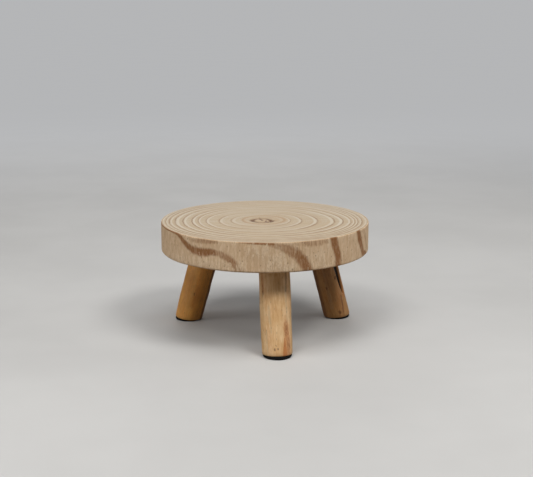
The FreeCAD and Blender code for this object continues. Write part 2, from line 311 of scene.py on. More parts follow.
class PadSettings(bpy.types.PropertyGroup):
    """The rubber pads under the legs."""

    points_round: count("Points Round", "Mesh points round each pad", 160, 24)
    bulge: length("Bulge", "How far a pad's wall swells under the stand's weight", 0.12)
    rubber: colour("Rubber", "Colour of the pads", 0.005, 0.005, 0.005)


class StageSettings(bpy.types.PropertyGroup):
    """Camera, floor and light."""

    camera_distance: length("Camera Distance", "From the aim point to the lens", 1085.5)
    camera_turn: turn("Camera Turn", "How far the camera stands to the left of the front", 7.75)
    camera_height: turn("Camera Elevation", "How steeply the camera looks down", 12.66)
    aim: FloatVectorProperty(
        name="Aim Point", description="What the camera points at", default=(0.0016, 0.0, 0.0912),
        subtype="TRANSLATION", unit="LENGTH"
    )
    lens: FloatProperty(name="Lens", description="Focal length in mm on a 36 mm wide sensor", default=75.3)
    floor: colour("Floor", "Colour of the pale floor", 0.56, 0.555, 0.545)
    floor_bounce: colour("Floor Bounce", "Colour of the light that the floor throws up", 0.23, 0.19, 0.15)
    key_left: amount("Left Key Lamp", "Power of the softbox in front to the left, in watts", 10.8)
    key_right: amount("Right Key Lamp", "Power of the softbox in front to the right, in watts", 15.6)
    overhead: amount("Overhead Lamp", "Power of the broad lamp above, in watts", 11.5)
    left_fill: amount("Left Strip", "Power of the strip lamp on the left, in watts", 5.6)
    right_fill: amount("Right Strip", "Power of the strip lamp on the right, in watts", 5.4)
    back_fill: amount("Back Lamp", "Power of the softbox behind, in watts", 9.0)
    room: amount("Room Light", "Strength of the light from all round", 0.065)
    backdrop: share("Backdrop", "How bright the plain backdrop looks", 0.47)
    far_floor: colour("Far Floor", "Tone of the floor where no lamp reaches it", 0.456, 0.461, 0.47)


class StandSettings(bpy.types.PropertyGroup):
    """Everything about the stand and its stage."""

    slab: PointerProperty(name="Slab", description="The round slice of trunk", type=SlabSettings)
    legs: PointerProperty(name="Legs", description="The branch legs", type=LegSettings)
    pads: PointerProperty(name="Pads", description="The rubber pads", type=PadSettings)
    stage: PointerProperty(name="Stage", description="Camera, floor and light", type=StageSettings)


# ---------------------------------------------------------------- numbers and noise


def ease(low, high, value):
    """0 up to low, 1 from high on, and a smooth rise between them. Low may be the larger one."""
    t = np.clip((value - low) / (high - low), 0.0, 1.0)
    return t * t * (3.0 - 2.0 * t)


def wander(points, size, seed):
    """Smooth noise from about -1 to 1 at each point, with lumps of the given size."""
    shift = Vector((seed * 13.1, seed * 7.7, seed * 3.3))
    return np.array([noise.noise(Vector(p) / size + shift) for p in points])


def brush(across, along, strokes):
    """How strongly the given strokes cover each place, from 0 to 1. Places and strokes share one unit."""
    cover = np.zeros_like(across)
    for stroke in strokes:
        for (x0, y0, width0, strength0), (x1, y1, width1, strength1) in zip(stroke, stroke[1:]):
            step_x, step_y = x1 - x0, y1 - y0
            part = ((across - x0) * step_x + (along - y0) * step_y) / max(step_x**2 + step_y**2, 1e-9)
            part = np.clip(part, 0.0, 1.0)
            away = np.hypot(across - x0 - part * step_x, along - y0 - part * step_y)
            width = width0 + part * (width1 - width0)
            strength = strength0 + part * (strength1 - strength0)
            cover = np.maximum(cover, strength * ease(1.5 * width, 0.45 * width, away))
    return cover


def angles_round(count):
    """That many even angles round a circle, in radians from 0."""
    return np.arange(count) * 2 * math.pi / count


def wrapped(degrees):
    """Angles moved into the turn from -180 to 180."""
    return (degrees + 180.0) % 360.0 - 180.0


def brush_round(degrees, along, radius, strokes):
    """brush() on a round wall: strokes give degrees round it, and radius turns those into mm."""
    per_degree = radius * math.pi / 180.0
    cover = np.zeros_like(along)
    for stroke in strokes:
        middle = sum(point[0] for point in stroke) / len(stroke)
        across = wrapped(degrees - middle) * per_degree
        flat = tuple(((p[0] - middle) * per_degree, *p[1:]) for p in stroke)
        cover = np.maximum(cover, brush(across, along, (flat,)))
    return cover


# ---------------------------------------------------------------- meshes from rows of points


def stitch(near, far):
    """Faces between two closed rows of mesh points. One row may be a single point or half as dense."""
    if len(near) > len(far):
        return [tuple(reversed(face)) for face in stitch(far, near)]
    count, faces = len(near), []
    if count == len(far):
        for i in range(count):
            j = (i + 1) % count
            faces.append((near[i], near[j], far[j], far[i]))
    elif count == 1:
        for i in range(len(far)):
            faces.append((near[0], far[(i + 1) % len(far)], far[i]))
    else:
        for i in range(count):
            j = (i + 1) % count
            middle, last = far[2 * i + 1], far[(2 * i + 2) % len(far)]
            faces += [(near[i], middle, far[2 * i]), (near[i], near[j], middle), (near[j], last, middle)]
    return faces


def mesh_from_rows(name, rows, finishes, finish_of_row):
    """A closed mesh skinned over rows of points, in order from one end's centre to the other's."""
    body = bmesh.new()
    placed = [[body.verts.new(point) for point in row] for row in rows]
    for index, (near, far) in enumerate(zip(placed, placed[1:])):
        for corners in stitch(near, far):
            face = body.faces.new(corners)
            face.smooth = True
            face.material_index = finish_of_row(index)
    bmesh.ops.recalc_face_normals(body, faces=body.faces)
    mesh = bpy.data.meshes.new(name)
    body.to_mesh(mesh)
    body.free()
    for finish in finishes:
        mesh.materials.append(finish)
    return mesh


def paint(mesh, name, values):
    """Keeps one number per mesh point, for a material to read."""
    mask = mesh.attributes.new(name, "FLOAT", "POINT")
    mask.data.foreach_set("value", np.asarray(values, dtype=np.float32))


def paint_rows(mesh, masks):
    """Paints the numbers kept for every row of points on the mesh they were skinned into."""
    for name in masks[0]:
        paint(mesh, name, np.concatenate([mask[name] for mask in masks]))


def new_object(name, data):
    """A new object in the scene's own collection."""
    made = bpy.data.objects.new(name, data)
    bpy.context.scene.collection.objects.link(made)
    return made


def add_piece(name, mesh, place, stands_for):
    """Puts a finished mesh in the scene as the piece that stands for one CAD node."""
    piece = new_object(name, mesh)
    piece.matrix_world = place
    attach(piece, "root")
    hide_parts(stands_for)
    return piece


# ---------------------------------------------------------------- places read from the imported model


def leg_place(side):
    """The leg's own frame: its origin at the slab's underside, Z up the leg and X leaning outwards."""
    low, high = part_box("dowel_" + side)
    foot = MOUNTS["foot_" + side]
    up = ((low + high) / 2 - foot).normalized()
    origin = foot + up * ((SLAB_UNDERSIDE - foot.z) / up.z)
    outward = Vector((foot.x, foot.y, 0.0)).normalized()
    x_axis = (outward - up * outward.dot(up)).normalized()
    y_axis = up.cross(x_axis)
    place = Matrix((x_axis, y_axis, up)).transposed().to_4x4()
    place.translation = origin
    return place


def reach_round_axis(node, place):
    """For each mesh point of a CAD node: its distance from the leg's axis and its place along it."""
    back = place.inverted()
    points = np.array([back @ v.co for v in frame["nodes"][node].data.vertices])
    return np.hypot(points[:, 0], points[:, 1]), points[:, 2]


def foot_cut(side, place):
    """The plane that the foot is sawn to, in the leg's own frame: a point on it and its normal."""
    mesh = frame["nodes"]["leg_" + side].data
    back = place.inverted()
    faces = [p for p in mesh.polygons if (back.to_3x3() @ p.normal).z < -0.9]
    lowest = min(p.center.z for p in faces)
    foot = [p for p in faces if p.center.z < lowest + 10 * MM]
    area = sum(p.area for p in foot)
    normal = sum((p.normal * p.area for p in foot), Vector()) / area
    point = sum((p.center * p.area for p in foot), Vector()) / area
    return back @ point, (back.to_3x3() @ normal).normalized()


def height_on_plane(x, y, point, normal):
    """The Z at which a plane passes x, y."""
    return point.z - (normal.x * (x - point.x) + normal.y * (y - point.y)) / normal.z


# ---------------------------------------------------------------- node helpers


class Shader:
    """Adds nodes to one node tree with short calls, and spreads them out in the order they are made."""

    COLUMN, ROW, ROWS = 220, 260, 6

    def __init__(self, tree):
        self.tree = tree

    def node(self, kind, settings=None, inputs=None):
        """A new node. Settings are its own properties, and inputs are numbers, colours or other outputs."""
        made = self.tree.nodes.new("ShaderNode" + kind)
        place = len(self.tree.nodes)
        made.location = (self.COLUMN * (place // self.ROWS), -self.ROW * (place % self.ROWS))
        for name, value in (settings or {}).items():
            setattr(made, name, value)
        for name, value in (inputs or {}).items():
            self.feed(made.inputs[name], value)
        return made

    def feed(self, socket, value):
        """Links an output to a socket, or sets the socket to a number, vector or colour."""
        if isinstance(value, bpy.types.NodeSocket):
            self.tree.links.new(value, socket)
        elif hasattr(value, "__len__") and socket.type == "RGBA":
            socket.default_value = (*value[:3], 1.0)
        else:
            socket.default_value = value

    def math(self, operation, first, second=0.0, third=0.0):
        """One Math node."""
        values = {0: first, 1: second, 2: third}
        return self.node("Math", {"operation": operation}, values).outputs[0]

    def ease(self, value, low, high, start=0.0, end=1.0):
        """A smooth change from start to end as value goes from low to high. Low may be the larger one."""
        if low > high:
            low, high, start, end = high, low, end, start
        limits = {"Value": value, "From Min": low, "From Max": high, "To Min": start, "To Max": end}
        return self.node("MapRange", {"interpolation_type": "SMOOTHSTEP"}, limits).outputs["Result"]

    def blend(self, factor, first, second, kind="MIX"):
        """Mixes two colours."""
        settings = {"data_type": "RGBA", "blend_type": kind}
        return self.node("Mix", settings, {0: factor, 6: first, 7: second}).outputs[2]

    def tint(self, tone, mask, share, shade):
        """Blends a shade into a tone where the mask is 1, by the given share."""
        return self.blend(self.math("MULTIPLY", mask, share), tone, shade)

    def stretched(self, vector, x_mm, y_mm, z_mm):
        """A place measured in steps of the given lengths along X, Y and Z."""
        steps = (1 / (x_mm * MM), 1 / (y_mm * MM), 1 / (z_mm * MM))
        return self.node("VectorMath", {"operation": "MULTIPLY"}, {0: vector, 1: steps}).outputs[0]

    def steps(self, across_mm, along_mm):
        """How many steps go into a metre across and along the grain. The steps' lengths are sockets."""
        across = self.math("DIVIDE", 1.0 / MM, across_mm)
        along = self.math("DIVIDE", 1.0 / MM, along_mm)
        return self.node("CombineXYZ", None, {"X": across, "Y": across, "Z": along}).outputs[0]

    def noise(self, vector, detail=2.0, roughness=0.5, distortion=0.0):
        """Noise with lumps one step wide."""
        inputs = {"Vector": vector, "Scale": 1.0, "Detail": detail, "Roughness": roughness}
        inputs["Distortion"] = distortion
        return self.node("TexNoise", None, inputs).outputs["Fac"]

    def mask(self, name):
        """A number painted on the mesh."""
        return self.node("Attribute", {"attribute_name": name}).outputs["Fac"]

    def place(self):
        """The place on the piece, in metres, in its own frame."""
        return self.node("TexCoord").outputs["Object"]

    def group(self, tree, inputs):
        """A node group with its own values."""
        made = self.node("Group", {"node_tree": tree})
        for name, value in inputs.items():
            self.feed(made.inputs[name], value)
        return made.outputs

    def fibres(self, place, width, run, seed=0.0):
        """The patterns of wood whose fibres are that wide and long, in mm: Streaks, Fine and Height."""
        inputs = {"Vector": place, "Fibre Width": width, "Fibre Length": run, "Seed": seed}
        return self.group(shared_group("Wood Fibre"), inputs)

    def flecks(self, place, width, run, part):
        """A mask of dark flecks that wide and long, in mm, in the given part of their possible places."""
        inputs = {"Vector": place, "Fleck Width": width, "Fleck Length": run, "Share": part}
        return self.group(shared_group("Wood Flecks"), inputs)["Flecks"]

    def drift(self, place, size, seed):
        """A mask of broad uneven patches of that size in mm."""
        inputs = {"Vector": place, "Patch Size": size, "Seed": seed}
        return self.group(shared_group("Tone Drift"), inputs)["Tone"]

    def frayed(self, mask_name, grains, fray, low, high):
        """A painted mask whose edge breaks up into the given fibres."""
        ragged = self.mask(mask_name)
        for grain in grains:
            ragged = self.math("MULTIPLY_ADD", self.math("SUBTRACT", grain, 0.5), fray, ragged)
        return self.ease(ragged, low, high)

    def bump(self, height, distance_mm, strength=1.0, under=None):
        """A Bump node: height from 0 to 1 stands for the given distance."""
        inputs = {"Height": height, "Distance": distance_mm * MM, "Strength": strength}
        if under is not None:
            inputs["Normal"] = under
        return self.node("Bump", None, inputs).outputs["Normal"]


def new_group(name, inputs, outputs):
    """A node group with its sockets, and the helper that fills it."""
    tree = bpy.data.node_groups.new(name, "ShaderNodeTree")
    for label, kind, value in inputs:
        socket = tree.interface.new_socket(label, in_out="INPUT", socket_type="NodeSocket" + kind)
        if value is not None:
            socket.default_value = value
    for label in outputs:
        tree.interface.new_socket(label, in_out="OUTPUT", socket_type="NodeSocketFloat")
    shader = Shader(tree)
    return tree, shader, tree.nodes.new("NodeGroupInput"), tree.nodes.new("NodeGroupOutput")


def finish_group(shader, outlet, values):
    """Links a group's results to its outputs."""
    for name, value in values.items():
        shader.feed(outlet.inputs[name], value)


def wood_fibre_group():
    """Streaks that run along Z: one coarse and one fine set, and the ridges that go with them."""
    tree, s, inlet, outlet = new_group(
        "Wood Fibre",
        (("Vector", "Vector", None), ("Fibre Width", "Float", 1.0), ("Fibre Length", "Float", 20.0),
         ("Seed", "Float", 0.0)),
        ("Streaks", "Fine", "Height"),
    )
    vector, width, run, seed = (inlet.outputs[n] for n in ("Vector", "Fibre Width", "Fibre Length", "Seed"))
    steps = s.steps(width, run)
    moved = s.node("VectorMath", {"operation": "MULTIPLY_ADD"}, {0: vector, 1: steps, 2: seed}).outputs[0]
    coarse = s.noise(moved, detail=3.0, roughness=0.55, distortion=0.35)
    closer = s.node("VectorMath", {"operation": "MULTIPLY"}, {0: moved, 1: (3.1, 3.1, 2.3)}).outputs[0]
    fine = s.noise(closer, detail=2.0, roughness=0.6)
    height = s.math("MULTIPLY_ADD", fine, 0.45, s.math("MULTIPLY", coarse, 0.55))
    finish_group(
        s, outlet, {"Streaks": s.ease(coarse, 0.3, 0.7), "Fine": s.ease(fine, 0.3, 0.7), "Height": height}
    )
    return tree


def fleck_group():
    """Small dark flecks and pores, longer along Z than across."""
    tree, s, inlet, outlet = new_group(
        "Wood Flecks",
        (("Vector", "Vector", None), ("Fleck Width", "Float", 1.0), ("Fleck Length", "Float", 3.0),
         ("Share", "Float", 0.3)),
        ("Flecks",),
    )
    vector, width, run, part = (inlet.outputs[n] for n in ("Vector", "Fleck Width", "Fleck Length", "Share"))
    steps = s.steps(width, run)
    moved = s.node("VectorMath", {"operation": "MULTIPLY"}, {0: vector, 1: steps}).outputs[0]
    spots = s.node("TexVoronoi", {"feature": "F1"}, {"Vector": moved, "Scale": 1.0, "Randomness": 1.0})
    chosen = s.math("LESS_THAN", s.node("SeparateColor", None, {0: spots.outputs["Color"]}).outputs[0], part)
    dot = s.ease(spots.outputs["Distance"], 0.34, 0.14)
    finish_group(s, outlet, {"Flecks": s.math("MULTIPLY", dot, chosen)})
    return tree


def drift_group():
    """Broad uneven patches of tone."""
    tree, s, inlet, outlet = new_group(
        "Tone Drift",
        (("Vector", "Vector", None), ("Patch Size", "Float", 30.0), ("Seed", "Float", 0.0)),
        ("Tone",),
    )
    size = inlet.outputs["Patch Size"]
    inputs = {0: inlet.outputs["Vector"], 1: s.steps(size, size), 2: inlet.outputs["Seed"]}
    moved = s.node("VectorMath", {"operation": "MULTIPLY_ADD"}, inputs).outputs[0]
    finish_group(s, outlet, {"Tone": s.ease(s.noise(moved, detail=3.0, roughness=0.6), 0.28, 0.72)})
    return tree


def shared_group(name):
    """One of the node groups that several materials use, built the first time it is asked for."""
    makers = {"Wood Fibre": wood_fibre_group, "Wood Flecks": fleck_group, "Tone Drift": drift_group}
    return bpy.data.node_groups.get(name) or makers[name]()


def new_finish(name):
    """An empty material, its helper and its Principled BSDF."""
    material = bpy.data.materials.new(name)
    material.use_nodes = True
    material.node_tree.nodes.clear()
    shader = Shader(material.node_tree)
    surface = shader.node("BsdfPrincipled")
    shader.node("OutputMaterial", None, {"Surface": surface.outputs[0]})
    return material, shader, surface


# ---------------------------------------------------------------- the slab's finishes


def sanded_top_finish(slab):
    """Sanded end grain: growth lines, a pale strip inside each, fine rings and the dark pith."""
    material, s, surface = new_finish("sanded_end_grain")
    place = s.place()
    pores = s.fibres(place, 0.55, 60.0)
    drift = s.drift(place, 42.0, 4.0)
    ripple = s.noise(s.stretched(place, 7, 7, 40), detail=3.0, roughness=0.6)

    phase, gap, darkness = s.mask("ring_phase"), s.mask("ring_gap"), s.mask("ring_darkness")
    part = s.math("FRACT", s.math("ADD", phase, 0.5))
    offset = s.math("MULTIPLY", s.math("SUBTRACT", part, 0.5), gap)
    offset = s.math("MULTIPLY_ADD", s.math("SUBTRACT", ripple, 0.5), 1.5, offset)
    east, north, _ = s.node("SeparateXYZ", None, {0: place}).outputs
    across = s.math("DIVIDE", north, s.math("MULTIPLY_ADD", s.mask("ring_radius"), MM, 3 * MM))
    spread = s.math("MULTIPLY_ADD", s.math("MULTIPLY", across, across), 1.7, 1.0)
    broken = s.ease(s.noise(s.stretched(place, 11, 11, 40), detail=2.0), 0.25, 0.6, 0.4, 1.0)
    line = s.ease(s.math("DIVIDE", s.math("ABSOLUTE", offset), spread), 0.85, 0.2)
    line = s.math("MULTIPLY", s.math("MULTIPLY", line, darkness), broken)
    strip = s.ease(s.math("ABSOLUTE", s.math("ADD", offset, 2.0)), 1.7, 0.5)
    strip = s.math("MULTIPLY", strip, s.math("MULTIPLY", darkness, s.ease(pores["Streaks"], -0.8, 0.7)))
    late = s.math("MULTIPLY", s.ease(offset, 4.2, 0.6), s.ease(offset, -0.4, 0.6))

    fine_place = s.node(
        "CombineXYZ",
        None,
        {
            "X": s.math("MULTIPLY", s.mask("ring_radius"), 0.55),
            "Y": s.math("MULTIPLY", east, 16.0),
            "Z": s.math("MULTIPLY", north, 16.0),
        },
    ).outputs[0]
    fine_rings = s.ease(s.noise(fine_place, detail=3.0, roughness=0.6), 0.32, 0.68)
    sanding = s.ease(s.noise(s.stretched(place, 30, 1.6, 30), detail=3.0), 0.35, 0.65)
    # Painted shade: towards the front the top is tinted tan, standing in for the paler sheen the lamps give
    # further back.
    front_painted_shade = s.ease(north, 0.02, -0.09)
    stain = (0.40, 0.235, 0.105)

    wood = s.tint(slab.straw, drift, 0.35, slab.tan)
    wood = s.tint(wood, front_painted_shade, 0.45, slab.tan)
    wood = s.tint(wood, fine_rings, 0.5, slab.tan)
    wood = s.tint(wood, sanding, 0.3, slab.cream)
    wood = s.tint(wood, s.math("MULTIPLY", late, darkness), 0.3, slab.tan)
    wood = s.tint(wood, strip, 0.95, slab.cream)
    wood = s.tint(wood, s.mask("pith_stain"), 0.6, stain)
    wood = s.tint(wood, line, 0.85, slab.growth_line)
    speck = s.math("MULTIPLY", s.ease(pores["Fine"], 0.5, 1.0), 0.2)
    wood = s.blend(speck, wood, slab.growth_line)
    crack = s.math("MULTIPLY_ADD", s.math("SUBTRACT", pores["Fine"], 0.5), 0.3, s.mask("pith_check"))
    # The dark brown inside the pith cracks is partly the wood's own colour and partly painted shade in the
    # cracks.
    wood = s.blend(s.ease(crack, 0.2, 0.95), wood, slab.pith)
    s.feed(surface.inputs["Base Color"], wood)

    s.feed(surface.inputs["Roughness"], s.ease(pores["Height"], 0.2, 0.8, 0.6, 0.8))
    height = s.math("MULTIPLY_ADD", line, -0.5, pores["Height"])
    height = s.math("MULTIPLY_ADD", fine_rings, 0.4, height)
    height = s.math("MULTIPLY_ADD", sanding, 0.4, height)
    s.feed(surface.inputs["Normal"], s.bump(height, 0.14, 0.8))
    return material


def peeled_wall_finish(slab):
    """The wall under the bark: long fibres, brown flame figure, torn pale fibres and dark flecks."""
    material, s, surface = new_finish("peeled_wall")
    place = s.place()
    fibre = s.fibres(place, 1.1, 5.5, 1.0)
    tuft = s.fibres(place, 2.6, 11.0, 3.0)
    band = s.fibres(place, 8.0, 50.0, 6.0)
    drift = s.drift(place, 20.0, 2.0)
    flecks = s.flecks(place, 2.2, 3.4, 0.25)

    grains = (fibre["Streaks"], tuft["Streaks"])
    flame = s.frayed("flame_figure", grains, 0.34, 0.0, 1.1)
    wool = s.frayed("torn_fibre", grains, 1.0, 0.35, 1.1)

    warm, shade = (0.54, 0.345, 0.185), (0.39, 0.23, 0.115)
    fleck_brown, edge_dark = (0.20, 0.105, 0.055), (0.33, 0.19, 0.10)
    wood = s.tint(slab.wall, band["Streaks"], 0.22, slab.wall_pale)
    wood = s.tint(wood, drift, 0.45, warm)
    wood = s.tint(wood, s.ease(tuft["Streaks"], 0.3, 1.0), 0.5, slab.wall_pale)
    wood = s.tint(wood, s.ease(tuft["Streaks"], 0.6, 0.0), 0.18, shade)
    wood = s.tint(wood, fibre["Streaks"], 0.28, shade)
    wood = s.tint(wood, fibre["Fine"], 0.25, slab.wall_pale)
    wood = s.tint(wood, flame, 0.98, slab.flame)
    wood = s.tint(wood, wool, 0.72, slab.wall_pale)
    # Painted shade in the gaps between the torn fibres.
    gap = s.math("MULTIPLY", s.ease(fibre["Fine"], 0.55, 0.15), s.ease(wool, 0.1, 0.5))
    wood = s.tint(wood, gap, 0.45, shade)
    wood = s.tint(wood, flecks, 0.5, fleck_brown)
    # Darker along the wall's lower edge, and a little darker just under the top edge.
    wood = s.tint(wood, s.mask("edge_darkening"), 0.3, edge_dark)
    s.feed(surface.inputs["Base Color"], wood)

    s.feed(surface.inputs["Roughness"], s.ease(fibre["Height"], 0.2, 0.8, 0.6, 0.8))
    height = s.math("MULTIPLY_ADD", s.math("MULTIPLY", wool, fibre["Height"]), 1.6, fibre["Height"])
    height = s.math("MULTIPLY_ADD", flecks, -0.4, height)
    broad = s.bump(tuft["Height"], 0.6, 0.8)
    s.feed(surface.inputs["Normal"], s.bump(height, 0.25, 0.8, under=broad))
    return material


# ---------------------------------------------------------------- the slab


def growth_table(name, centre_value, rim_value):
    """One value of every growth line, from the pith to the rim."""
    return [centre_value, *(getattr(line, name) for line in GROWTH_LINES), rim_value]


def face_radii(face_radius, coarse):
    """Radii in mm of the mesh rows on a sawn face: close together at each growth line, even between them."""
    close = (0.0,) if coarse else (-1.1, -0.55, 0.0, 0.55, 1.1)
    widest = 2.6 if coarse else 1.35
    near_pith = 1.0 if coarse else 0.7
    kept = sorted({line.radius + step for line in GROWTH_LINES for step in close} | {near_pith, face_radius})
    kept = [radius for radius in kept if radius <= face_radius]
    radii = [kept[0]]
    for radius in kept[1:]:
        step = near_pith + 0.1 if radius < 17 else widest
        parts = max(1, math.ceil((radius - radii[-1]) / step))
        first = radii[-1]
        radii += [first + (radius - first) * (i + 1) / parts for i in range(parts)]
    return radii


def points_at(radius, slab, coarse):
    """Mesh points round a row: fewer towards the middle, halved each time."""
    limits = (78, 40, 18) if coarse else (46, 22, 9)
    halvings = sum(radius < limit for limit in limits)
    return slab.points_round // 2**halvings


def sawn_face(slab, edge_radius, face_radius, coarse):
    """Rows of points over a sawn face that follow the growth lines, and each row's ring values, in mm.

    edge_radius gives the face's own outline for each angle, and the rows end on it.
    """
    radii_of_lines = growth_table("radius", 0.0, face_radius)
    phase_of_lines = range(len(radii_of_lines))
    shift_x = growth_table("shift_x", GROWTH_LINES[0].shift_x, 0.0)
    shift_y = growth_table("shift_y", GROWTH_LINES[0].shift_y, 0.0)
    darkness = growth_table("darkness", 0.0, 0.6)
    rows, masks = [], []
    for radius in face_radii(face_radius, coarse):
        angle = angles_round(points_at(radius, slab, coarse))
        degrees = np.degrees(angle)
        fade = 1.0 - (radius / face_radius) ** 8
        bulge = 2.4 * np.exp(-((wrapped(degrees + 17) / 24) ** 2)) * math.exp(-(((radius - 70) / 17) ** 2))
        waves = 0.006 * np.sin(2 * angle + 1.3 + radius / 60) + 0.004 * np.sin(3 * angle + radius / 25)
        waves = waves + 0.0025 * np.sin(7 * angle + radius / 9)
        length_mm = radius * (1 + waves * fade) + bulge * fade
        x = np.interp(radius, radii_of_lines, shift_x) + length_mm * np.cos(angle)
        y = np.interp(radius, radii_of_lines, shift_y) + length_mm * np.sin(angle)
        scale = edge_radius(angle) / face_radius
        rows.append(np.stack([x * scale, y * scale], axis=1))
        phase = float(np.interp(radius, radii_of_lines, phase_of_lines))
        whole = min(int(phase + 1e-6), len(GROWTH_LINES))
        gap = radii_of_lines[whole + 1] - radii_of_lines[whole]
        side_fade = 0.68 + 0.32 * np.cos(2 * np.radians(degrees + 6)) - 0.2 * np.sin(np.radians(degrees))
        tone = np.clip(np.interp(radius, radii_of_lines, darkness) * side_fade, 0.0, 1.0)
        ones = np.ones_like(angle)
        masks.append({"phase": phase * ones, "gap": gap * ones, "radius": radius * ones, "darkness": tone})
    return rows, masks


def wall_outline(slab, angle):
    """The wall's distance from the slab's axis at each angle, in mm."""
    ring = [(math.cos(a), math.sin(a), 0.0) for a in angle]
    drift = 0.7 * wander(ring, 0.9, 2) + 0.3 * wander(ring, 0.25, 3)
    return (SLAB_RADIUS + slab.swell) / MM + slab.rim_wander / MM * drift


def base_round_at(slab, angle):
    """The lower edge's radius at each angle, in mm: uneven, with a few small chips."""
    ring = [(math.cos(a), math.sin(a), 0.4) for a in angle]
    chips = ease(0.35, 0.75, wander(ring, 0.045, 9))
    uneven = 1 + 0.22 * wander(ring, 0.3, 5) + 0.12 * wander(ring, 0.06, 6) + 0.25 * chips
    return slab.base_round / MM * uneven


def wall_rows(slab, angle, outline):
    """Rows down the wall, from just under the top edge to just above the underside: x, y and drop, in mm."""
    top_round = slab.face_round / MM
    base_round = base_round_at(slab, angle)
    steps = [(top_round * (1 - math.sin(a)), top_round * (1 - math.cos(a)))
             for a in np.radians((22.5, 45.0, 67.5, 90.0))]
    rows = [(outline - inset, np.full_like(angle, drop)) for inset, drop in steps]
    middle_rows = 26
    for i in range(1, middle_rows):
        drop = top_round + (SLAB_THICKNESS - base_round - top_round) * i / middle_rows
        rows.append((outline.copy(), drop))
    for a in np.radians(np.linspace(0.0, 78.0, 7)):
        drop = SLAB_THICKNESS - base_round * (1 - math.sin(a))
        rows.append((outline - base_round * (1 - math.cos(a)), drop))
    return rows


def top_marks(slab, x, y, ring):
    """A row of the top, in mm: how deep each point lies, and how stained and cracked it is near the pith."""
    check = brush(x, y, PITH_CHECKS)
    radius = np.hypot(x + 1.0, y + 0.5)
    stain = np.exp(-(((radius - 20.0) / 1.9) ** 2)) + 0.45 * ease(19.0, 12.0, radius)
    nearest = np.abs((ring["phase"] + 0.5) % 1.0 - 0.5) * ring["gap"]
    groove = np.exp(-((nearest / 0.6) ** 2)) * ring["darkness"] * (slab.line_depth / MM)
    hollow = 0.06 + 0.05 * wander([(a / 30, b / 30, 0.0) for a, b in zip(x, y)], 1.0, 11)
    return groove + hollow + check * slab.check_depth / MM, stain, check


def wall_marks(slab, angle, drop):
    """A row of the wall, in mm: how far each point stands out, with its flame, torn fibre and darker edges.
    """
    degrees = np.degrees(angle)
    flame = brush_round(degrees, drop, SLAB_RADIUS / MM, WALL_FLAMES)
    wool = brush_round(degrees, drop, SLAB_RADIUS / MM, WALL_WOOL)
    spots = [(math.cos(a) * 100, math.sin(a) * 100, d / 7) for a, d in zip(angle, drop)]
    fibres, swell = wander(spots, 1.6, 21), wander(spots, 9.0, 22)
    torn = slab.fibre_depth / MM * (0.55 * fibres + 0.7 * swell) * ease(0.0, 2.0, drop)
    # Darker along the wall's lower edge, and a little darker just under the top edge.
    edge_dark = 0.8 * ease(SLAB_THICKNESS - 3.0, SLAB_THICKNESS, drop) + 0.3 * ease(1.4, 0.2, drop)
    return torn - 0.12 * flame + 0.2 * wool * np.abs(fibres), flame, wool, edge_dark


def slab_mesh(slab):
    """The slice of trunk: both sawn faces, the rounded edges and the peeled wall, with its marks."""
    full = angles_round(slab.points_round)
    outline_full = wall_outline(slab, full)
    base_full = base_round_at(slab, full)
    top_round = slab.face_round / MM

    def at_angles(values, angle):
        return np.interp(angle, full, values, period=2 * math.pi)

    face_radius = SLAB_RADIUS / MM - top_round
    def top_edge(angle):
        return at_angles(outline_full, angle) - top_round

    def base_edge(angle):
        return at_angles(outline_full, angle) - at_angles(base_full, angle)

    top_rows, top_masks = sawn_face(slab, top_edge, face_radius, coarse=False)
    base_rows, base_masks = sawn_face(slab, base_edge, face_radius, coarse=True)
    pith = np.array([[GROWTH_LINES[0].shift_x, GROWTH_LINES[0].shift_y]])
    no_ring = {"phase": np.zeros(1), "gap": np.ones(1), "radius": np.zeros(1), "darkness": np.zeros(1)}

    rows, masks = [], []

    def add_row(x, y, drop, ring, flame=0.0, wool=0.0, edge_dark=0.0, stain=0.0, check=0.0):
        ones = np.ones(len(x))
        rows.append(np.stack([x, y, SLAB_TOP / MM - drop * ones], axis=1) * MM)
        masks.append(
            {
                "ring_phase": ring["phase"] * ones,
                "ring_gap": ring["gap"] * ones,
                "ring_radius": ring["radius"] * ones,
                "ring_darkness": ring["darkness"] * ones,
                "flame_figure": flame * ones,
                "torn_fibre": wool * ones,
                "edge_darkening": edge_dark * ones,
                "pith_stain": stain * ones,
                "pith_check": check * ones,
            }
        )

    def top_row(flat, ring):
        x, y = flat[:, 0], flat[:, 1]
        drop, stain, check = top_marks(slab, x, y, ring)
        add_row(x, y, drop, ring, stain=stain, check=check)

    top_row(pith, no_ring)
    for flat, ring in zip(top_rows, top_masks):
        top_row(flat, ring)
    first_wall_row = len(rows) - 1

    rim_ring = {name: values[:1] for name, values in top_masks[-1].items()}
    for outline, drop in wall_rows(slab, full, outline_full):
        stands_out, flame, wool, edge_dark = wall_marks(slab, full, drop)
        x, y = (outline + stands_out) * np.cos(full), (outline + stands_out) * np.sin(full)
        add_row(x, y, drop, rim_ring, flame=flame, wool=wool, edge_dark=edge_dark)
    last_wall_row = len(rows) - 1

    for flat, ring in zip(reversed(base_rows), reversed(base_masks)):
        add_row(flat[:, 0], flat[:, 1], SLAB_THICKNESS, ring)
    add_row(pith[:, 0], pith[:, 1], SLAB_THICKNESS, no_ring)

    def finish_of_row(index):
        return int(first_wall_row <= index < last_wall_row)

    finishes = (sanded_top_finish(slab), peeled_wall_finish(slab))
    mesh = mesh_from_rows("top_slab_wood", rows, finishes, finish_of_row)
    paint_rows(mesh, masks)
    return mesh


